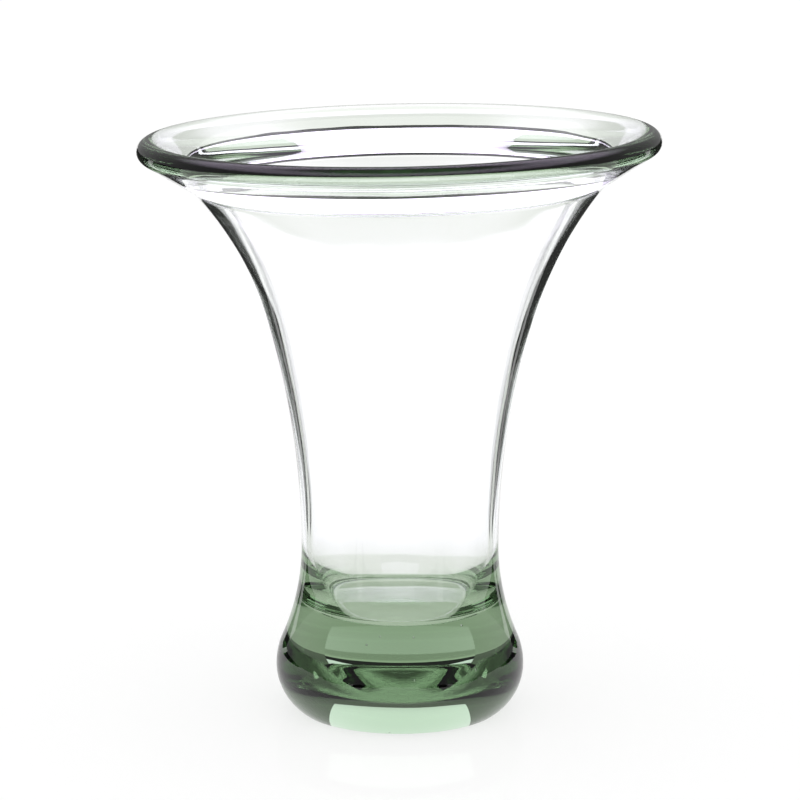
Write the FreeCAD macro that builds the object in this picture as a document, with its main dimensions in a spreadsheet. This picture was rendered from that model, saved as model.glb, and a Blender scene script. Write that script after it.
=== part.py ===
# A fan vase of thick pale green glass, blown and shaped by hand: a heavy solid foot, a narrow waist,
# a body that flares like a trumpet, and a rim turned outwards with a round, fire-polished edge.
# The glassmaker works three masses of hot glass into it, and each is a solid here:
#   base  the solid foot, with the rounded floor of the vase's cavity in its top
#   bowl  the blown wall, from the foot up through the waist and the flare
#   lip   the rim, turned out and thickened to a round edge
# They meet face to face across the wall. Each solid is an outline turned round the vase's axis.
# Millimetres. The origin is the middle of the ring that the foot rests on, with +Z up the axis.
import FreeCAD, Part
import Sketcher
import math
import os
from FreeCAD import Vector

# The driving dimensions, each written once. Diameters are measured outside the glass.
SIZES = {
    "height": 218.9,
    "rim_diameter": 193.6,
    "rim_overhang": 21.8,
    "rim_rise": 21.0,
    "edge_thickness": 8.3,
    "crest_curve": 6.2,
    "crest_lean_share": 0.14,
    "dish_curve": 136.0,
    "brow_curve": 15.0,
    "brow_start": 11.2,
    "turn_slope": 50.8,
    "inner_turn_slope": 52.5,
    "turn_curve": 14.4,
    "turn_wall": 4.0,
    "flare_break_share": 0.644,
    "inner_break_share": 0.644,
    "waist_diameter": 74.4,
    "waist_height": 63.5,
    "neck_share": 0.783,
    "wall": 3.6,
    "foot_diameter": 94.0,
    "foot_widest_height": 16.6,
    "rest_inset": 8.4,
    "pontil_diameter": 44.0,
    "pontil_depth": 1.2,
    "floor_height": 38.0,
    "cavity_curve": 74.0,
    "cavity_corner": 4.5,
    "joint_height": 50.0,
}


doc = FreeCAD.newDocument("fan_vase")
sheet = doc.addObject("Spreadsheet::Sheet", "sizes")
for row, (alias, value) in enumerate(SIZES.items(), start=1):
    sheet.set("A%d" % row, alias)
    sheet.set("B%d" % row, str(value))
    sheet.setAlias("B%d" % row, alias)
doc.recompute()


def size(alias):
    return float(getattr(sheet, alias))


# Points of the section are pairs: the distance from the axis, and the height.
def add(point, direction, length):
    return (point[0] + direction[0] * length, point[1] + direction[1] * length)


def towards(start, end):
    span = math.dist(start, end)
    return ((end[0] - start[0]) / span, (end[1] - start[1]) / span)


def left_of(direction):
    return (-direction[1], direction[0])


def leaving_arc(start, heading, end):
    """The centre of the arc that leaves start along heading and ends at end, and its heading there."""
    chord = towards(start, end)
    turn = heading[0] * chord[1] - heading[1] * chord[0]
    radius = math.dist(start, end) / (2 * turn)
    centre = add(start, left_of(heading), radius)
    out = towards(centre, end)
    side = math.copysign(1, radius)
    return centre, (-out[1] * side, out[0] * side)


class Outline:
    """A closed outline in a body's sketch, drawn edge by edge, each edge from where the last one ended."""

    def __init__(self, body, title):
        self.sketch = body.newObject("Sketcher::SketchObject", title)
        upright = [plane for plane in body.Origin.OriginFeatures if plane.Role == "XZ_Plane"][0]
        self.sketch.AttachmentSupport = [(upright, "")]
        self.sketch.MapMode = "FlatFace"
        self.edges = []

    def keep(self, edge, first, last, only_guides=False):
        index = self.sketch.addGeometry(edge, only_guides)
        self.edges.append((index, first, last))
        return len(self.edges) - 1

    def line(self, start, end):
        return self.keep(Part.LineSegment(Vector(*start, 0), Vector(*end, 0)), 1, 2)

    def guide(self, start, end):
        """A line that only guides others, and isn't part of the outline."""
        return self.keep(Part.LineSegment(Vector(*start, 0), Vector(*end, 0)), 1, 2, True)

    def arc(self, start, end, centre):
        """An arc under half a turn. A sketch keeps every arc anticlockwise, so a clockwise one is stored
        back to front."""
        circle = Part.Circle(Vector(*centre, 0), Vector(0, 0, 1), math.dist(centre, start))
        angles = [math.atan2(point[1] - centre[1], point[0] - centre[0]) for point in (start, end)]
        sweep = math.remainder(angles[1] - angles[0], 2 * math.pi)
        if sweep > 0:
            return self.keep(Part.ArcOfCircle(circle, angles[0], angles[0] + sweep), 1, 2)
        return self.keep(Part.ArcOfCircle(circle, angles[1], angles[1] - sweep), 2, 1)

    def rule(self, kind, *places):
        return self.sketch.addConstraint(Sketcher.Constraint(kind, *places))

    def start(self, edge):
        return self.edges[edge][0], self.edges[edge][1]

    def end(self, edge):
        return self.edges[edge][0], self.edges[edge][2]

    def centre(self, edge):
        return self.edges[edge][0], 3

    def meet(self, first, second):
        self.rule("Coincident", *self.end(first), *self.start(second))

    def smooth(self, first, second):
        self.rule("Tangent", *self.end(first), *self.start(second))

    def square(self, first, second):
        self.rule("Perpendicular", *self.end(first), *self.start(second))

    def bind(self, index, name, formula):
        self.sketch.renameConstraint(index, name)
        self.sketch.setExpression("Constraints." + name, formula)

    def out(self, place, name, value, formula):
        """Holds a place at a distance from the axis."""
        self.bind(self.rule("DistanceX", -1, 1, *place, value), name, formula)

    def up(self, place, name, value, formula):
        """Holds a place at a height above what the vase stands on."""
        self.bind(self.rule("DistanceY", -1, 1, *place, value), name, formula)

    def radius(self, edge, name, value, formula):
        self.bind(self.rule("Radius", self.edges[edge][0], value), name, formula)

    def level(self, edge):
        self.rule("Horizontal", self.edges[edge][0])

    def level_with(self, place, other):
        self.rule("Horizontal", *place, *other)

    def on_axis(self, place):
        self.rule("PointOnObject", *place, -2)

    def on_ground(self, place):
        self.rule("PointOnObject", *place, -1)


def turned(node):
    """A body for one mass of glass, with its outline still to be drawn."""
    body = doc.addObject("PartDesign::Body", node)
    body.Label = node
    body.Placement = FreeCAD.Placement()
    return body, Outline(body, node + "_outline")


def turn(body, outline):
    """Turns a finished outline once round the axis."""
    doc.recompute()
    revolution = body.newObject("PartDesign::Revolution", body.Label + "_turned")
    revolution.Profile = outline.sketch
    revolution.ReferenceAxis = (outline.sketch, ["V_Axis"])
    revolution.Angle = 360
    outline.sketch.Visibility = False
    doc.recompute()


def at_height(centre, radius, height, side):
    """The place at a height on a circle, on its side nearer to the axis (-1) or farther from it (1)."""
    return (centre[0] + side * math.sqrt(radius**2 - (height - centre[1]) ** 2), height)


def flare(start, end, slope, share):
    """The two arcs that leave start straight up and reach end at a slope: the place where they meet, at a
    share of the way up, and their centres. The place is found by halving."""
    break_height = waist[1] + share * (turn_point[1] - waist[1])
    near, far = start[0], end[0]
    for _ in range(60):
        meeting = ((near + far) / 2, break_height)
        long_centre, heading = leaving_arc(start, (0, 1), meeting)
        upper_centre, heading = leaving_arc(meeting, heading, end)
        if math.atan2(heading[1], heading[0]) > slope:
            far = meeting[0]
        else:
            near = meeting[0]
    return meeting, long_centre, upper_centre


# Places that two solids share, worked out from the driving dimensions.
foot = (size("foot_diameter") / 2, size("foot_widest_height"))
waist = (size("waist_diameter") / 2, size("waist_height"))
inner_waist = (waist[0] - size("wall"), waist[1])
turn_slope = math.radians(size("turn_slope"))
turn_heading = (math.cos(turn_slope), math.sin(turn_slope))
turn_point = (size("rim_diameter") / 2 - size("rim_overhang"), size("height") - size("rim_rise"))
inner_turn = add(turn_point, left_of(turn_heading), size("turn_wall"))
inner_slope = math.radians(size("inner_turn_slope"))
inner_heading = (math.cos(inner_slope), math.sin(inner_slope))
brow_start = add(inner_turn, inner_heading, size("brow_start"))

# From the foot's widest place to the waist the outside is two arcs, upright at both ends. Their radii
# add up to one length, and the neck's share of it is the hollow arc under the waist.
both_curves = math.dist(foot, waist) ** 2 / (2 * (foot[0] - waist[0]))
neck_curve = size("neck_share") * both_curves
neck_centre = (waist[0] + neck_curve, waist[1])
cavity_centre = (inner_waist[0] - size("cavity_curve"), waist[1])
joint = at_height(neck_centre, neck_curve, size("joint_height"), -1)
inner_joint = at_height(cavity_centre, size("cavity_curve"), size("joint_height"), 1)

# The same places and lengths as the outlines that share them write them.
TURN_OUT = "sizes.rim_diameter / 2 - sizes.rim_overhang"
TURN_UP = "sizes.height - sizes.rim_rise"
INNER_TURN_OUT = TURN_OUT + " - sizes.turn_wall * sin(sizes.turn_slope)"
INNER_TURN_UP = TURN_UP + " + sizes.turn_wall * cos(sizes.turn_slope)"
BROW_OUT = INNER_TURN_OUT + " + sizes.brow_start * cos(sizes.inner_turn_slope)"
BROW_UP = INNER_TURN_UP + " + sizes.brow_start * sin(sizes.inner_turn_slope)"
FLARE_BREAK = "sizes.waist_height + sizes.flare_break_share * (%s - sizes.waist_height)" % TURN_UP
INNER_BREAK = "sizes.waist_height + sizes.inner_break_share * (%s - sizes.waist_height)" % TURN_UP
NECK_CURVE = (
    "sizes.neck_share * ((sizes.foot_diameter - sizes.waist_diameter) ^ 2 / 4"
    " + (sizes.waist_height - sizes.foot_widest_height) ^ 2)"
    " / (sizes.foot_diameter - sizes.waist_diameter)"
)


def make_base():
    """The foot: a polished hollow where the pontil was, a ring to rest on, a round belly that runs up
    into the waist's curve, and the cavity's floor."""
    body, outline = turned("base")
    rest = (foot[0] - size("rest_inset"), 0)
    pontil = (size("pontil_diameter") / 2, 0)
    hollow = (0, size("pontil_depth"))
    floor = size("floor_height")

    # The pontil's hollow is a cap of a sphere whose centre is on the axis below it.
    hollow_radius = (pontil[0] ** 2 + hollow[1] ** 2) / (2 * hollow[1])
    hollow_centre = (0, hollow[1] - hollow_radius)
    # The belly's lower curve stands upright at its widest place.
    belly_radius = ((foot[0] - rest[0]) ** 2 + foot[1] ** 2) / (2 * (foot[0] - rest[0]))
    belly_centre = (foot[0] - belly_radius, foot[1])
    # Its upper curve has what the neck's curve leaves of their two radii, and touches it.
    shoulder_radius = both_curves - neck_curve
    shoulder_centre = (foot[0] - shoulder_radius, foot[1])
    inflection = add(shoulder_centre, towards(shoulder_centre, neck_centre), shoulder_radius)
    # The cavity's corner is a small round between its wall and its floor.
    corner = size("cavity_corner")
    corner_height = floor + corner
    inside = size("cavity_curve") - corner
    corner_centre = at_height(cavity_centre, inside, corner_height, 1)
    corner_top = add(corner_centre, towards(cavity_centre, corner_centre), corner)
    floor_edge = (corner_centre[0], floor)

    hollow_edge = outline.arc(hollow, pontil, hollow_centre)
    ring = outline.line(pontil, rest)
    under = outline.arc(rest, foot, belly_centre)
    belly = outline.arc(foot, inflection, shoulder_centre)
    neck = outline.arc(inflection, joint, neck_centre)
    seam = outline.line(joint, inner_joint)
    wall = outline.arc(inner_joint, corner_top, cavity_centre)
    round_edge = outline.arc(corner_top, floor_edge, corner_centre)
    bottom = outline.line(floor_edge, (0, floor))
    axis = outline.line((0, floor), hollow)

    outline.meet(hollow_edge, ring)
    outline.meet(ring, under)
    outline.smooth(under, belly)
    outline.smooth(belly, neck)
    outline.meet(neck, seam)
    outline.meet(seam, wall)
    outline.smooth(wall, round_edge)
    outline.smooth(round_edge, bottom)
    outline.meet(bottom, axis)
    outline.meet(axis, hollow_edge)

    outline.on_axis(outline.start(hollow_edge))
    outline.on_axis(outline.centre(hollow_edge))
    outline.on_axis(outline.end(bottom))
    outline.on_ground(outline.start(ring))
    outline.on_ground(outline.end(ring))
    outline.level_with(outline.centre(under), outline.end(under))
    outline.level(seam)
    outline.level(bottom)
    outline.up(outline.start(hollow_edge), "pontil_depth", hollow[1], "sizes.pontil_depth")
    outline.out(outline.start(ring), "pontil_radius", pontil[0], "sizes.pontil_diameter / 2")
    outline.out(
        outline.end(ring), "rest_radius", rest[0],
        "sizes.foot_diameter / 2 - sizes.rest_inset",
    )
    outline.out(outline.end(under), "foot_radius", foot[0], "sizes.foot_diameter / 2")
    outline.up(outline.end(under), "foot_widest", foot[1], "sizes.foot_widest_height")
    outline.radius(neck, "neck_curve", neck_curve, NECK_CURVE)
    outline.out(
        outline.centre(neck), "neck_out", neck_centre[0],
        "sizes.waist_diameter / 2 + " + NECK_CURVE,
    )
    outline.up(outline.centre(neck), "neck_up", neck_centre[1], "sizes.waist_height")
    outline.up(outline.end(neck), "joint_height", joint[1], "sizes.joint_height")
    outline.radius(wall, "cavity_curve", size("cavity_curve"), "sizes.cavity_curve")
    outline.out(
        outline.centre(wall), "cavity_out", cavity_centre[0],
        "sizes.waist_diameter / 2 - sizes.wall - sizes.cavity_curve",
    )
    outline.up(outline.centre(wall), "cavity_up", cavity_centre[1], "sizes.waist_height")
    outline.radius(round_edge, "cavity_corner", corner, "sizes.cavity_corner")
    outline.up(outline.end(bottom), "floor_height", floor, "sizes.floor_height")
    turn(body, outline)
    return body


def make_bowl():
    """The blown wall. Inside and outside each rise as a long arc and a shorter one, and part a little on
    the way, so that the wall is thickest where the rim turns."""
    body, outline = turned("bowl")
    break_point, long_centre, upper_centre = flare(waist, turn_point, turn_slope, size("flare_break_share"))
    inner_break, inner_long, inner_upper = flare(
        inner_waist, inner_turn, inner_slope, size("inner_break_share")
    )

    neck = outline.arc(joint, waist, neck_centre)
    long_flare = outline.arc(waist, break_point, long_centre)
    upper_flare = outline.arc(break_point, turn_point, upper_centre)
    rim_seam = outline.line(turn_point, inner_turn)
    upper_inside = outline.arc(inner_turn, inner_break, inner_upper)
    long_inside = outline.arc(inner_break, inner_waist, inner_long)
    cavity = outline.arc(inner_waist, inner_joint, cavity_centre)
    seam = outline.line(inner_joint, joint)
    into_lip = outline.guide(inner_turn, brow_start)

    outline.smooth(neck, long_flare)
    outline.smooth(long_flare, upper_flare)
    outline.square(upper_flare, rim_seam)
    outline.meet(rim_seam, upper_inside)
    outline.rule("Tangent", *outline.start(upper_inside), *outline.start(into_lip))
    outline.smooth(upper_inside, long_inside)
    outline.smooth(long_inside, cavity)
    outline.meet(cavity, seam)
    outline.meet(seam, neck)

    outline.level(seam)
    outline.level_with(outline.centre(neck), outline.end(neck))
    outline.level_with(outline.centre(cavity), outline.start(cavity))
    outline.up(outline.start(neck), "joint_height", joint[1], "sizes.joint_height")
    outline.radius(neck, "neck_curve", neck_curve, NECK_CURVE)
    outline.out(outline.end(neck), "waist_radius", waist[0], "sizes.waist_diameter / 2")
    outline.up(outline.end(neck), "waist_height", waist[1], "sizes.waist_height")
    outline.up(outline.end(long_flare), "flare_break", break_point[1], FLARE_BREAK)
    outline.up(outline.end(upper_inside), "inner_break", inner_break[1], INNER_BREAK)
    outline.out(outline.end(upper_flare), "turn_out", turn_point[0], TURN_OUT)
    outline.up(outline.end(upper_flare), "turn_up", turn_point[1], TURN_UP)
    outline.out(outline.end(rim_seam), "inner_turn_out", inner_turn[0], INNER_TURN_OUT)
    outline.up(outline.end(rim_seam), "inner_turn_up", inner_turn[1], INNER_TURN_UP)
    outline.out(outline.end(into_lip), "brow_out", brow_start[0], BROW_OUT)
    outline.up(outline.end(into_lip), "brow_up", brow_start[1], BROW_UP)
    outline.out(
        outline.start(cavity), "inner_waist", inner_waist[0],
        "sizes.waist_diameter / 2 - sizes.wall",
    )
    outline.radius(cavity, "cavity_curve", size("cavity_curve"), "sizes.cavity_curve")
    turn(body, outline)
    return body


def make_lip():
    """The rim: the outside turns outwards and runs straight to the round edge. The inside goes straight on,
    bends over a brow into a shallow dish, and rolls over a crest into the same edge, so that the glass
    thickens all the way up."""
    body, outline = turned("lip")
    edge = size("edge_thickness") / 2
    crest = size("crest_curve")
    bend = size("turn_curve")
    # The round edge lies inside the crest's curve and touches it, out where the rim is widest. The top of
    # the crest's curve is the top of the vase.
    edge_out = size("rim_diameter") / 2 - edge
    offset = size("crest_lean_share") * (crest - edge)
    crest_centre = (edge_out - offset, size("height") - crest)
    edge_centre = (edge_out, crest_centre[1] + math.sqrt((crest - edge) ** 2 - offset**2))
    edge_end = add(edge_centre, towards(crest_centre, edge_centre), edge)
    # The brow's curve leaves the straight inside. It and the crest's curve lie inside the dish's, and the
    # dish's centre is where it touches both.
    brow = size("brow_curve")
    brow_centre = add(brow_start, left_of(inner_heading), -brow)
    to_brow = size("dish_curve") - brow
    to_crest = size("dish_curve") - crest
    span = math.dist(brow_centre, crest_centre)
    along = (span**2 + to_brow**2 - to_crest**2) / (2 * span)
    sideways = math.sqrt(to_brow**2 - along**2)
    line_of_centres = towards(brow_centre, crest_centre)
    foot_of_dish = add(brow_centre, line_of_centres, along)
    dish_centre = add(foot_of_dish, left_of(line_of_centres), -sideways)
    brow_end = add(brow_centre, towards(dish_centre, brow_centre), brow)
    crest_end = add(crest_centre, towards(dish_centre, crest_centre), crest)
    # The straight underside touches the bend on one side and the round edge on the other.
    bend_centre = add(turn_point, left_of(turn_heading), -bend)
    apart = math.dist(bend_centre, edge_centre)
    sight = towards(bend_centre, edge_centre)
    lean = math.atan2(sight[1], sight[0]) - math.asin((bend + edge) / apart)
    underside = (math.cos(lean), math.sin(lean))
    bend_end = add(bend_centre, left_of(underside), bend)
    edge_start = add(edge_centre, left_of(underside), -edge)

    turning = outline.arc(turn_point, bend_end, bend_centre)
    under = outline.line(bend_end, edge_start)
    round_edge = outline.arc(edge_start, edge_end, edge_centre)
    crest_roll = outline.arc(edge_end, crest_end, crest_centre)
    dish = outline.arc(crest_end, brow_end, dish_centre)
    brow_roll = outline.arc(brow_end, brow_start, brow_centre)
    inside = outline.line(brow_start, inner_turn)
    seam = outline.line(inner_turn, turn_point)

    outline.smooth(turning, under)
    outline.smooth(under, round_edge)
    outline.smooth(round_edge, crest_roll)
    outline.smooth(crest_roll, dish)
    outline.smooth(dish, brow_roll)
    outline.smooth(brow_roll, inside)
    outline.meet(inside, seam)
    outline.square(seam, turning)

    outline.radius(turning, "turn_curve", bend, "sizes.turn_curve")
    outline.radius(round_edge, "edge_radius", edge, "sizes.edge_thickness / 2")
    outline.out(
        outline.centre(round_edge), "edge_out", edge_out,
        "sizes.rim_diameter / 2 - sizes.edge_thickness / 2",
    )
    outline.radius(crest_roll, "crest_curve", crest, "sizes.crest_curve")
    outline.out(
        outline.centre(crest_roll), "crest_out", crest_centre[0],
        "sizes.rim_diameter / 2 - sizes.edge_thickness / 2"
        " - sizes.crest_lean_share * (sizes.crest_curve - sizes.edge_thickness / 2)",
    )
    outline.up(
        outline.centre(crest_roll), "crest_up", crest_centre[1],
        "sizes.height - sizes.crest_curve",
    )
    outline.out(outline.start(turning), "turn_out", turn_point[0], TURN_OUT)
    outline.up(outline.start(turning), "turn_up", turn_point[1], TURN_UP)
    outline.radius(dish, "dish_curve", size("dish_curve"), "sizes.dish_curve")
    outline.radius(brow_roll, "brow_curve", brow, "sizes.brow_curve")
    outline.out(outline.start(inside), "brow_out", brow_start[0], BROW_OUT)
    outline.up(outline.start(inside), "brow_up", brow_start[1], BROW_UP)
    outline.out(outline.end(inside), "inner_turn_out", inner_turn[0], INNER_TURN_OUT)
    outline.up(outline.end(inside), "inner_turn_up", inner_turn[1], INNER_TURN_UP)
    turn(body, outline)
    return body


nodes = [make_base(), make_bowl(), make_lip()]

# Nothing is written unless every object and every solid is sound.
faults = [item.Name for item in doc.Objects if {"Invalid", "Error"} & set(item.State)]
if faults:
    raise RuntimeError("failed: " + ", ".join(faults))
for node in nodes:
    if node.Shape.isNull() or not node.Shape.isValid() or len(node.Shape.Solids) != 1:
        raise RuntimeError(node.Label + " is not one sound solid")

os.makedirs("parts", exist_ok=True)
for node in nodes:
    node.Shape.exportStep("parts/" + node.Label + ".step")
    box = node.Shape.optimalBoundingBox(False)
    print(
        "%s: %.1f cm3, %.1f mm across, from %.2f to %.2f mm up"
        % (node.Label, node.Shape.Volume / 1000, box.XLength, box.ZMin, box.ZMax)
    )
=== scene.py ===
# %% [markdown]
# # A fan vase of thick pale green glass
# The vase is blown and shaped by hand: a heavy solid foot, a narrow waist, a body that flares like a
# trumpet, and a rim turned outwards with a round, fire-polished edge. It is one piece of clear glass, so
# nearly everything that the eye sees in it is the room behind it, bent by the glass. Two things make or
# break the picture: the true section of the wall, inside as well as outside, and what stands around the
# vase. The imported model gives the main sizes. The outline and the seeds are given in millimetres, and all
# else in metres.

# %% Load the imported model
import math

import bpy
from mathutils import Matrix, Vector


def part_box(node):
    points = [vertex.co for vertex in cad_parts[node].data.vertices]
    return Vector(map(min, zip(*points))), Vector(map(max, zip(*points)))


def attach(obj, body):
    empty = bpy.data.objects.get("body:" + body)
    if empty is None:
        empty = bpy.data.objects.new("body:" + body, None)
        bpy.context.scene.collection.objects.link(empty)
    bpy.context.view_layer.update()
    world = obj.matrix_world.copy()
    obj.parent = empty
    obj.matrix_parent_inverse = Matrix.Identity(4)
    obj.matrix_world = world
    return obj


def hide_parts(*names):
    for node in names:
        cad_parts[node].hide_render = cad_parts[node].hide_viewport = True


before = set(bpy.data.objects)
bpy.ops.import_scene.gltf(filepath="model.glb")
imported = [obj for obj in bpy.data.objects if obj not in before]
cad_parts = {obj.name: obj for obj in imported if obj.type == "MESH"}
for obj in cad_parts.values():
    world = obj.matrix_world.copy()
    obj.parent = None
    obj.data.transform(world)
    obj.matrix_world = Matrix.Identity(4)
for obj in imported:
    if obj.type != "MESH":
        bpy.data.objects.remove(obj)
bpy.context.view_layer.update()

base_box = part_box("base")
bowl_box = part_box("bowl")
lip_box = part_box("lip")

# %% [markdown]
# ## The section
# A blown vase is round, so its whole shape is one outline turned about its axis. The outline here starts
# in the hollow under the foot, goes up the outside, over the rim, and down the inside to the floor of the
# cavity. It is drawn with arcs that run into each other, as a gaffer's tools leave them, because a kink of
# even one degree in thick glass shows as a hard line. A point of the outline is a pair: its distance from
# the axis and its height, both in millimetres.

# %% Sizes of the section
TO_MM = 1000
height = lip_box[1][2] * TO_MM
rim_radius = lip_box[1][0] * TO_MM
foot_radius = base_box[1][0] * TO_MM
turn_point = (bowl_box[1][0] * TO_MM, lip_box[0][2] * TO_MM)

edge_radius = 4.15
crest_curve = 6.2
crest_lean_share = 0.14
dish_curve = 136.0
brow_curve = 15.0
brow_length = 11.2
turn_slope = math.radians(50.8)
inner_turn_slope = math.radians(52.5)
turn_curve = 14.4
turn_wall = 4.0
break_share = 0.644
wall = 3.6
waist = (37.2, 63.5)
neck_share = 0.783
foot = (foot_radius, 16.6)
rest = (foot_radius - 8.4, 0)
pontil_radius = 22.0
pontil_depth = 1.2
floor_height = 38.0
cavity_curve = 74.0
cavity_corner = 4.5
print("height %.1f, rim %.1f, foot %.1f mm" % (height, rim_radius * 2, foot_radius * 2))


# %% Helpers that draw the outline
UP = math.pi / 2
HALVINGS = 60


def moved(point, angle, length):
    """The place at a length from point, in the direction of angle."""
    return (point[0] + math.cos(angle) * length, point[1] + math.sin(angle) * length)


def bearing(start, end):
    return math.atan2(end[1] - start[1], end[0] - start[0])


def at_height(centre, radius, level, side):
    """The place at a level on a circle, on its side nearer to the axis (-1) or farther from it (1)."""
    return (centre[0] + side * math.sqrt(radius**2 - (level - centre[1]) ** 2), level)


def leaving_arc(start, course, end):
    """The centre of the arc that leaves start on a course and ends at end, and its course there."""
    chord = bearing(start, end)
    radius = math.dist(start, end) / (2 * math.sin(chord - course))
    return moved(start, course + math.pi / 2, radius), 2 * chord - course


def flare(start, end, end_slope):
    """The two arcs that leave start straight up and reach end at a slope: where they meet, and their
    centres. The meeting place is found by halving."""
    near, far = start[0], end[0]
    for _ in range(HALVINGS):
        meeting = ((near + far) / 2, waist[1] + break_share * (turn_point[1] - waist[1]))
        long_centre, course = leaving_arc(start, UP, meeting)
        upper_centre, course = leaving_arc(meeting, course, end)
        if course > end_slope:
            far = meeting[0]
        else:
            near = meeting[0]
    return meeting, long_centre, upper_centre


def straight(outline, end, step):
    start = outline[-1]
    count = max(1, math.ceil(math.dist(start, end) / step))
    for k in range(1, count + 1):
        share = k / count
        outline.append((start[0] + (end[0] - start[0]) * share, start[1] + (end[1] - start[1]) * share))


def curve(outline, centre, end, step):
    """Follows the shorter arc about centre from the outline's last point to end."""
    start_angle = bearing(centre, outline[-1])
    sweep = math.remainder(bearing(centre, end) - start_angle, math.tau)
    radius = math.dist(centre, end)
    count = max(2, math.ceil(abs(sweep) * radius / step))
    for k in range(1, count + 1):
        outline.append(moved(centre, start_angle + sweep * k / count, radius))


# %% [markdown]
# From the waist up the outside and the inside are each a long arc and a shorter one. They part a little
# on the way, because the glass is left thickest where the rim turns. Above the turn the outside runs
# straight to the round edge, while the inside keeps straight on for a while, bends over a brow into a
# shallow dish, and rolls over a crest into the same edge.

# %% Places on the wall and the rim
inner_waist = (waist[0] - wall, waist[1])
inner_turn = moved(turn_point, turn_slope + UP, turn_wall)
flare_break, long_centre, upper_centre = flare(waist, turn_point, turn_slope)
inner_break, inner_long, inner_upper = flare(inner_waist, inner_turn, inner_turn_slope)

edge_out = rim_radius - edge_radius
offset = crest_lean_share * (crest_curve - edge_radius)
crest_centre = (edge_out - offset, height - crest_curve)
edge_centre = (edge_out, crest_centre[1] + math.sqrt((crest_curve - edge_radius) ** 2 - offset**2))
edge_end = moved(edge_centre, bearing(crest_centre, edge_centre), edge_radius)
brow_start = moved(inner_turn, inner_turn_slope, brow_length)
brow_centre = moved(brow_start, inner_turn_slope - UP, brow_curve)
across = math.dist(brow_centre, crest_centre)
to_brow, to_crest = dish_curve - brow_curve, dish_curve - crest_curve
along = (across**2 + to_brow**2 - to_crest**2) / (2 * across)
course = bearing(brow_centre, crest_centre)
dish_centre = moved(moved(brow_centre, course, along), course - UP, math.sqrt(to_brow**2 - along**2))
brow_end = moved(brow_centre, bearing(dish_centre, brow_centre), brow_curve)
crest_end = moved(crest_centre, bearing(dish_centre, crest_centre), crest_curve)
bend_centre = moved(turn_point, turn_slope - UP, turn_curve)
apart = math.dist(bend_centre, edge_centre)
lean = bearing(bend_centre, edge_centre) - math.asin((turn_curve + edge_radius) / apart)
bend_end = moved(bend_centre, lean + UP, turn_curve)
edge_start = moved(edge_centre, lean - UP, edge_radius)
print("the rim's underside slopes at %.1f degrees" % math.degrees(lean))

# %% [markdown]
# The foot's outside is two arcs that meet at its widest place, and a third, hollow one that carries it
# into the waist. In its top the cavity ends in a nearly flat floor with a small round corner.

# %% Places on the foot
belly_radius = math.dist(rest, foot) ** 2 / (2 * (foot[0] - rest[0]))
belly_centre = (foot[0] - belly_radius, foot[1])
both_curves = math.dist(foot, waist) ** 2 / (2 * (foot[0] - waist[0]))
neck_curve = neck_share * both_curves
neck_centre = (waist[0] + neck_curve, waist[1])
shoulder_centre = (foot[0] - both_curves + neck_curve, foot[1])
inflection = moved(shoulder_centre, bearing(shoulder_centre, neck_centre), both_curves - neck_curve)
cavity_centre = (inner_waist[0] - cavity_curve, waist[1])
hollow_radius = (pontil_radius**2 + pontil_depth**2) / (2 * pontil_depth)
hollow_centre = (0, pontil_depth - hollow_radius)
corner_centre = at_height(cavity_centre, cavity_curve - cavity_corner, floor_height + cavity_corner, 1)
corner_top = moved(corner_centre, bearing(cavity_centre, corner_centre), cavity_corner)

# %% The whole outline
FINE, MEDIUM, COARSE = 0.5, 1.2, 2.4
outline = [(0, pontil_depth)]
curve(outline, hollow_centre, (pontil_radius, 0), COARSE)
straight(outline, rest, COARSE)
curve(outline, belly_centre, foot, MEDIUM)
curve(outline, shoulder_centre, inflection, MEDIUM)
curve(outline, neck_centre, waist, MEDIUM)
curve(outline, long_centre, flare_break, COARSE)
curve(outline, upper_centre, turn_point, MEDIUM)
curve(outline, bend_centre, bend_end, FINE)
straight(outline, edge_start, COARSE)
curve(outline, edge_centre, edge_end, FINE)
curve(outline, crest_centre, crest_end, FINE)
curve(outline, dish_centre, brow_end, MEDIUM)
curve(outline, brow_centre, brow_start, FINE)
straight(outline, inner_turn, COARSE)
curve(outline, inner_upper, inner_break, MEDIUM)
curve(outline, inner_long, inner_waist, COARSE)
curve(outline, cavity_centre, corner_top, MEDIUM)
curve(outline, corner_centre, (corner_centre[0], floor_height), FINE)
straight(outline, (0, floor_height), COARSE)
print(len(outline), "points in the outline")

# %% [markdown]
# ## Turning the outline
# In Blender the outline is drawn as by hand: a small plane is merged to a single vertex, that vertex is
# extruded from point to point, and the line is spun once round the axis. The spin's first and last copies
# and its poles are then merged, so that the glass is one closed skin. Glass has to be closed: through a
# gap the light would come in without bending.

# %% Draw the outline and spin it
SPIN_STEPS = 224
MERGE_DISTANCE = 1e-6


def edit(action):
    """Opens the active piece in edit mode with all of it selected, or nothing."""
    bpy.ops.object.mode_set(mode="EDIT")
    bpy.ops.mesh.select_all(action=action)


bpy.ops.object.select_all(action="DESELECT")
start = (outline[0][0] / TO_MM, 0, outline[0][1] / TO_MM)
bpy.ops.mesh.primitive_plane_add(size=1 / TO_MM, location=start)
bpy.ops.object.transform_apply(location=True)
vase = bpy.context.object
vase.name = "glass_vase"
vase.data.name = "glass_vase"
edit("SELECT")
bpy.ops.mesh.merge(type="CENTER")
for here, there in zip(outline, outline[1:]):
    step = ((there[0] - here[0]) / TO_MM, 0, (there[1] - here[1]) / TO_MM)
    bpy.ops.mesh.extrude_region_move(TRANSFORM_OT_translate={"value": step})
bpy.ops.mesh.select_all(action="SELECT")
bpy.ops.mesh.spin(steps=SPIN_STEPS, angle=math.tau, center=(0, 0, 0), axis=(0, 0, 1))
bpy.ops.mesh.select_all(action="SELECT")
bpy.ops.mesh.remove_doubles(threshold=MERGE_DISTANCE)
bpy.ops.mesh.normals_make_consistent(inside=False)
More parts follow.
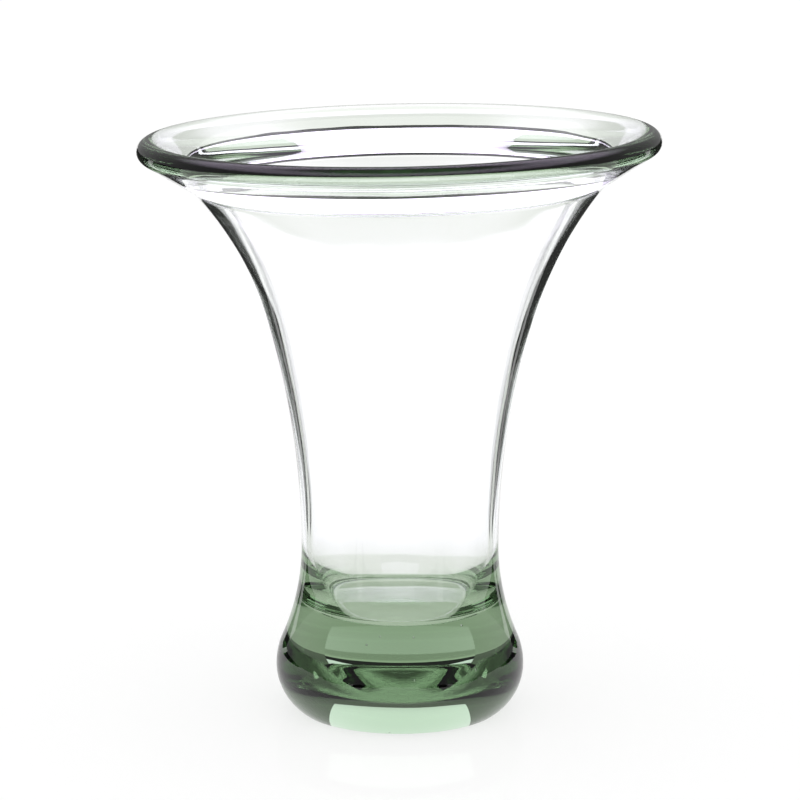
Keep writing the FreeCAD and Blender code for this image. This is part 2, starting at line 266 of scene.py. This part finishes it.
bpy.ops.object.mode_set(mode="OBJECT")
print(len(vase.data.vertices), "vertices,", len(vase.data.polygons), "faces")

# %% [markdown]
# ## The marks of the hand
# No blown vase is a perfect lathe shape. Its skin wavers by a tenth of a millimetre over a few
# centimetres, and that is enough to make every line in the glass a little uneven. A Displace modifier with
# a texture of soft clouds does this, and it is applied at once.

# %% Let the skin waver
WAVER_LENGTH = 0.05
WAVER_DEPTH = 0.0002

waver = bpy.data.textures.new("waver", "CLOUDS")
waver.noise_scale = WAVER_LENGTH
bpy.ops.object.modifier_add(type="DISPLACE")
modifier = vase.modifiers[-1]
modifier.texture = waver
modifier.texture_coords = "LOCAL"
modifier.strength = WAVER_DEPTH
modifier.mid_level = 0.5
bpy.ops.object.modifier_apply(modifier=modifier.name)
print("the widest radius is now %.2f mm" % (max(v.co.x for v in vase.data.vertices) * TO_MM))

# %% [markdown]
# The rim leans by about one degree, its right end higher. The ring at the top is turned about the
# front-to-back axis, and proportional editing lets the flare below it follow and leaves the foot as it
# was. Everything is deselected in edit mode first, because faces that are still selected would bring their
# vertices along.

# %% Lean the rim
RING_FROM = 0.205
RIM_LEAN = math.radians(1.16)
LEAN_CENTRE = (0, 0, 0.2)
LEAN_REACH = 0.08

edit("DESELECT")
bpy.ops.object.mode_set(mode="OBJECT")
for vertex in vase.data.vertices:
    vertex.select = vertex.co.z > RING_FROM
bpy.ops.object.mode_set(mode="EDIT")
bpy.ops.transform.rotate(
    value=RIM_LEAN, orient_axis="Y", center_override=LEAN_CENTRE,
    use_proportional_edit=True, proportional_edit_falloff="SMOOTH", proportional_size=LEAN_REACH,
)
bpy.ops.object.mode_set(mode="OBJECT")
ends = [max((v.co for v in vase.data.vertices), key=lambda p: p.x * side) for side in (-1, 1)]
print("the rim's left and right ends are %.1f and %.1f mm up" % (ends[0].z * TO_MM, ends[1].z * TO_MM))

# %% [markdown]
# Seeds are small bubbles of gas from the melt, and a few of them float in the thick foot. Each is a little
# ball whose skin faces inwards, because its inside is air and not glass. They are joined into the vase,
# so that the light meets one piece of glass with holes in it. A seed is its centre and its radius, in mm.

# %% Seeds in the foot
SEEDS = [
    ((-12.0, -37.2, 33.7), 0.40), ((22.1, -30.4, 39.2), 0.45), ((-7.1, -36.4, 36.6), 0.30),
    ((4.8, -35.8, 36.2), 0.35), ((27.4, -33.6, 23.1), 0.50), ((5.2, -42.1, 21.7), 0.40),
    ((-3.8, -37.1, 1.2), 0.35), ((-18.4, 27.5, 30.2), 0.40), ((31.0, 12.5, 17.9), 0.30),
]
SMOOTH_UNDER = math.radians(35)

balls = []
for centre, radius in SEEDS:
    bpy.ops.object.select_all(action="DESELECT")
    bpy.ops.mesh.primitive_uv_sphere_add(
        segments=12, ring_count=8, radius=radius / TO_MM, location=[part / TO_MM for part in centre],
    )
    edit("SELECT")
    bpy.ops.mesh.flip_normals()
    bpy.ops.object.mode_set(mode="OBJECT")
    balls.append(bpy.context.object)
bpy.ops.object.select_all(action="DESELECT")
for piece in balls + [vase]:
    piece.select_set(True)
bpy.context.view_layer.objects.active = vase
bpy.ops.object.join()
bpy.ops.object.shade_smooth_by_angle(angle=SMOOTH_UNDER)
triangles = sum(len(face.vertices) - 2 for face in vase.data.polygons)
print(len(SEEDS), "seeds,", triangles, "triangles in all")

# %% [markdown]
# ## The finish: soda-lime glass, fire-polished
# Soda-lime glass is what bottles and studio vases are blown from. Iron in its sand makes it green, and
# the green only shows where light runs a long way through it, as in the rim and the foot. So the surface
# has no colour of its own, and no roughness either, because the last reheating leaves it as smooth as a
# liquid. The green comes from a volume that swallows more red and blue than green on each metre of the
# way: a thin wall looks clear and the foot bottle green, from the same glass.


# %% Helpers for materials
def srgb(hex_colour):
    """A colour written as sRGB hex, as Blender's linear values."""
    parts = [int(hex_colour[k:k + 2], 16) / 255 for k in (1, 3, 5)]
    return [p / 12.92 if p <= 0.04045 else ((p + 0.055) / 1.055) ** 2.4 for p in parts] + [1]


def add_node(tree, kind, inputs=None, **settings):
    """Adds a shader node with its settings. Each input, by its name or number, gets a value, another
    node's output, or another node, which stands for its own first output."""
    node = tree.nodes.new("ShaderNode" + kind)
    for name, setting in settings.items():
        setattr(node, name, setting)
    for name, content in (inputs or {}).items():
        if isinstance(content, bpy.types.Node):
            content = content.outputs[0]
        if isinstance(content, bpy.types.NodeSocket):
            tree.links.new(content, node.inputs[name])
        else:
            node.inputs[name].default_value = content
    return node


def new_material(name):
    material = bpy.data.materials.new(name)
    material.use_nodes = True
    material.node_tree.nodes.clear()
    return material, material.node_tree


# %% The glass
glass, tree = new_material("soda_lime_glass_fire_polished")
surface = add_node(tree, "BsdfPrincipled", {
    "Base Color": srgb("#FFFFFF"),
    "Roughness": 0.0,
    "IOR": 1.52,
    "Transmission Weight": 1.0,
})
body_green = add_node(tree, "VolumeAbsorption", {"Color": srgb("#93BA84"), "Density": 24.0})
add_node(tree, "OutputMaterial", {"Surface": surface, "Volume": body_green})
vase.data.materials.clear()
vase.data.materials.append(glass)
print("the vase is finished in", glass.name)

# %% [markdown]
# ## The studio
# Clear glass shows little but the room behind it. Here it stands in a bright field: before a window, on a
# table whose glow is painted light, with the dark kept to the sides, partly by dark cards painted into that
# glow. Through the thin wall the eye sees the bright field almost unchanged. At the wall's edge the line of
# sight runs along the glass and is thrown aside into the dark, which draws a black line. The places of the
# lights and of the dark were found by following rays through the section, so that the main lines and
# patches fall where the real vase has them. They are repeated to the front, the back and both sides, so
# that the vase also reads well from there. All places that are angles are in degrees.


# %% Helpers for the studio
def slope(degrees):
    """How far a line at this angle rises, or strays aside, on each metre."""
    return math.tan(math.radians(degrees))


def level_parts(tree, vector):
    """How far a place or a direction lies to either side, how far to front or back, and how high."""
    parts = add_node(tree, "SeparateXYZ", {"Vector": vector}).outputs
    across = add_node(tree, "Math", {0: parts["X"]}, operation="ABSOLUTE")
    along = add_node(tree, "Math", {0: parts["Y"]}, operation="ABSOLUTE")
    return across, along, parts["Z"]


def where_all(tree, first, *others):
    """1 where each of these is 1, and 0 elsewhere."""
    for other in others:
        first = add_node(tree, "Math", {0: first, 1: other}, operation="MULTIPLY")
    return first


def between(tree, number, low, high):
    """1 where number lies between low and high, and 0 elsewhere."""
    above = add_node(tree, "Math", {0: number, 1: low}, operation="GREATER_THAN")
    below = add_node(tree, "Math", {0: number, 1: high}, operation="LESS_THAN")
    return where_all(tree, above, below)


# %% [markdown]
# As the glass shows it, the table is a sheet that glows. This glow is painted light that stands in for a
# lit table, and it is painted a little dimmer under the vase than farther out, as painted shade under the
# vase. Its polish mirrors the window. From 18 cm out a dark card is painted into the glow to each side of
# the view, and the wall's edges show this painted dark. Only rays that the glass has mirrored, mostly
# inside the wall, see the painted cards, and only before they have crossed both walls, which takes four
# refractions. So a look straight through the body, from any side, keeps the bright table.

# %% The table as the glass shows it
TABLE_SIZE = 24
TABLE_GAP = 0.0002
# Where dark cards are painted into the table's glow: degrees beside each view, and metres out.
PAINTED_CARDS_FROM, PAINTED_CARDS_TO = 16, 42
PAINTED_CARDS_DISTANCE = 0.178
# Strengths of the table's painted glow: the lower one, near the vase, is painted shade under it.
PAINTED_SHADE_GLOW, PAINTED_LIGHT_GLOW = 0.95, 1.3
NEAR, FAR = 0.05, 0.6
DARK = 0.03
MOST_MIRRORED = 0.24
BOTH_WALLS = 3.5

bpy.ops.object.select_all(action="DESELECT")
bpy.ops.mesh.primitive_plane_add(size=TABLE_SIZE, location=(0, 0, -TABLE_GAP))
table = bpy.context.object
table.name = "table"
sheet, tree = new_material("table_with_painted_light")
across, along, _ = level_parts(tree, add_node(tree, "TexCoord").outputs["Object"])
ahead = add_node(tree, "Math", {0: across, 1: along}, operation="MAXIMUM")
aside = add_node(tree, "Math", {0: across, 1: along}, operation="MINIMUM")
safe_ahead = add_node(tree, "Math", {0: ahead, 1: 0.001}, operation="MAXIMUM")
stray = add_node(tree, "Math", {0: aside, 1: safe_ahead}, operation="DIVIDE")
rays = add_node(tree, "LightPath").outputs
# Dark cards painted into the table's glow, seen only in light that the glass has mirrored.
painted_dark_cards = where_all(
    tree,
    between(tree, stray, slope(PAINTED_CARDS_FROM), slope(PAINTED_CARDS_TO)),
    add_node(tree, "Math", {0: aside, 1: PAINTED_CARDS_DISTANCE}, operation="GREATER_THAN"),
    add_node(tree, "Math", {0: rays["Glossy Depth"], 1: 0.5}, operation="GREATER_THAN"),
    add_node(tree, "Math", {0: rays["Transmission Depth"], 1: BOTH_WALLS}, operation="LESS_THAN"),
)
# Everywhere but the painted dark cards.
clear = add_node(tree, "Math", {0: 1.0, 1: painted_dark_cards}, operation="SUBTRACT")
# The table's glow is painted light, painted dimmer near the vase as painted shade under it.
spread = {"From Min": NEAR, "From Max": FAR, "To Min": PAINTED_SHADE_GLOW, "To Max": PAINTED_LIGHT_GLOW}
painted_light_strength = where_all(tree, add_node(tree, "MapRange", {"Value": ahead, **spread}), clear)
painted_light_strength = add_node(tree, "Math", {0: painted_light_strength, 1: DARK}, operation="MAXIMUM")
painted_light_shader = add_node(tree, "Emission", {"Strength": painted_light_strength})
polish = add_node(tree, "BsdfGlossy", {"Roughness": 0.05})
fresnel = add_node(tree, "Fresnel", {"IOR": 1.5})
mirrored = add_node(tree, "Math", {0: fresnel, 1: MOST_MIRRORED}, operation="MINIMUM")
seen_by_glass = add_node(tree, "MixShader", {0: where_all(tree, mirrored, clear), 1: painted_light_shader, 2: polish})
# Prints how far the painted dark cards reach.
print("the cards reach from %d to %d degrees beside each view" % (PAINTED_CARDS_FROM, PAINTED_CARDS_TO))

# %% [markdown]
# The camera itself sees a plain white sheet. Most of its white is a glow, and the rest is matt, which
# keeps a soft shadow under the vase, with a faint polish that mirrors the foot.

# %% The table as the camera sees it
OWN_GLOW = 1.17
MATT_SHARE = 0.35
POLISH_SHARE = 0.08

white = add_node(tree, "Emission", {"Strength": OWN_GLOW})
matt = add_node(tree, "BsdfDiffuse", {"Color": srgb("#E6E6E6")})
soft_polish = add_node(tree, "BsdfGlossy", {"Roughness": 0.08})
plain = add_node(tree, "MixShader", {0: MATT_SHARE, 1: white, 2: matt})
seen_by_camera = add_node(tree, "MixShader", {0: POLISH_SHARE, 1: plain, 2: soft_polish})
seen = add_node(tree, "MixShader", {0: rays["Is Camera Ray"], 1: seen_by_glass, 2: seen_by_camera})
add_node(tree, "OutputMaterial", {"Surface": seen})
table.data.materials.append(sheet)
print("the table is finished in", sheet.name)

# %% [markdown]
# Each side of the room has a window, narrower to the left and right than ahead. Its sill is dark, which
# draws the dark line along the far lip, and under the sill a lit strip runs down to the horizon. All this
# is only for light that goes through the glass: mirrored in the outside of the vase it would draw bright
# stripes. Cycles would pick the world's bright parts as lamps before it knows the ray that asks, so this
# way of sampling is turned off.

# %% Places in the room
WINDOW_HALF_WIDTH, SIDE_WINDOW_HALF_WIDTH = 27.5, 15
HORIZON, SILL, WINDOW_FROM, WINDOW_TO = -1, 1.5, 7.5, 26

world = bpy.data.worlds.new("studio")
bpy.context.scene.world = world
world.use_nodes = True
world.cycles.sampling_method = "NONE"
tree = world.node_tree
tree.nodes.clear()
across, along, up = level_parts(tree, add_node(tree, "TexCoord").outputs["Generated"])
ahead = add_node(tree, "Math", {0: across, 1: along}, operation="MAXIMUM")
aside = add_node(tree, "Math", {0: across, 1: along}, operation="MINIMUM")
climb = add_node(tree, "Math", {0: up, 1: ahead}, operation="DIVIDE")
stray = add_node(tree, "Math", {0: aside, 1: ahead}, operation="DIVIDE")
sideways = add_node(tree, "Math", {0: across, 1: along}, operation="GREATER_THAN")
half_width = add_node(tree, "MapRange", {
    "Value": sideways, "To Min": slope(WINDOW_HALF_WIDTH), "To Max": slope(SIDE_WINDOW_HALF_WIDTH),
})
rays = add_node(tree, "LightPath").outputs
opening = where_all(
    tree,
    add_node(tree, "Math", {0: stray, 1: half_width}, operation="LESS_THAN"),
    add_node(tree, "Math", {0: rays["Transmission Depth"], 1: 0.5}, operation="GREATER_THAN"),
)
window = where_all(tree, opening, between(tree, climb, slope(WINDOW_FROM), slope(WINDOW_TO)))
sill = where_all(tree, opening, between(tree, climb, slope(SILL), slope(WINDOW_FROM)))
strip = where_all(tree, opening, between(tree, climb, slope(HORIZON), slope(SILL)))
print("the windows reach from %.1f to %.1f degrees up" % (WINDOW_FROM, WINDOW_TO))

# %% [markdown]
# A soft light hangs overhead. It is brightest half way between the horizon and the zenith, and fades both
# ways. The room's walls are dim, and less so for light that has crossed both walls of the vase. The table
# is lit by an even white room instead, so that its shadow is soft, and the camera too sees the room white.

# %% Light in the room
LOW_EDGE, HIGH_EDGE = (28, 45), (56, 74)
WALL_LIGHT, WALL_LIGHT_ACROSS = 0.3, 0.65


def height_fade(edge):
    """0 below the first angle of the edge, 1 above the second, and a soft step between them."""
    low, high = (math.sin(math.radians(angle)) for angle in edge)
    limits = {"Value": up, "From Min": low, "From Max": high}
    return add_node(tree, "MapRange", limits, interpolation_type="SMOOTHSTEP")


rises, falls = height_fade(LOW_EDGE), height_fade(HIGH_EDGE)
overhead = add_node(tree, "Math", {0: rises, 1: falls}, operation="SUBTRACT")
crossed = add_node(tree, "Math", {0: rays["Transmission Depth"], 1: BOTH_WALLS}, operation="GREATER_THAN")
scattered = add_node(tree, "Math", {0: rays["Diffuse Depth"], 1: 0.5}, operation="GREATER_THAN")
wall_light = add_node(tree, "MapRange", {
    "Value": crossed, "To Min": WALL_LIGHT, "To Max": WALL_LIGHT_ACROSS,
})
room = add_node(tree, "Background", {"Color": srgb("#FFFFFF"), "Strength": wall_light})
for place, colour, strength in (
    (sill, "#FFFFFF", DARK),
    (strip, "#FFFFFF", 1.1),
    (window, "#F0E3FF", 2.93),
    (overhead, "#F5E9FF", 1.98),
    (scattered, "#FFFFFF", 1.2),
    (rays["Is Camera Ray"], "#FFFFFF", 1.0),
):
    light = add_node(tree, "Background", {"Color": srgb(colour), "Strength": strength})
    room = add_node(tree, "MixShader", {0: place, 1: room, 2: light})
add_node(tree, "OutputWorld", {"Surface": room})
print("the room has", len(tree.nodes), "nodes")

# %% [markdown]
# ## The camera
# A long lens stands 1.23 m away and looks down by twelve degrees, so that the mouth opens to a flat
# ellipse. Its place was fitted to the ellipses of the rim and the foot. The lens and the sensor are given
# in millimetres, as Blender asks. Light may bend and bounce many times before it is cut off, because the
# rim and the foot trap it.

# %% The camera
LENS = 148.2
SENSOR = 36
AIM_HEIGHT = 0.11832
DISTANCE = 1.2338
LOOK_DOWN = math.radians(11.815)
MOST_BOUNCES, MOST_GLOSSY_BOUNCES = 32, 16

lens = bpy.data.cameras.new("camera")
lens.lens = LENS
lens.sensor_width = SENSOR
camera = bpy.data.objects.new("camera", lens)
bpy.context.collection.objects.link(camera)
stand_height = AIM_HEIGHT + DISTANCE * math.sin(LOOK_DOWN)
camera.location = (0, -DISTANCE * math.cos(LOOK_DOWN), stand_height)
camera.rotation_euler = (math.pi / 2 - LOOK_DOWN, 0, 0)
bpy.context.scene.camera = camera
bpy.context.scene.view_settings.view_transform = "Standard"
cycles = bpy.context.scene.cycles
cycles.max_bounces = MOST_BOUNCES
cycles.transmission_bounces = MOST_BOUNCES
cycles.glossy_bounces = MOST_GLOSSY_BOUNCES
print("the camera stands %.3f m up and looks down by %.1f degrees" % (stand_height, math.degrees(LOOK_DOWN)))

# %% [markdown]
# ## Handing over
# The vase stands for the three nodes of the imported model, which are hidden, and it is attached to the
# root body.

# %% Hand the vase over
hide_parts("base", "bowl", "lip")
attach(vase, "root")
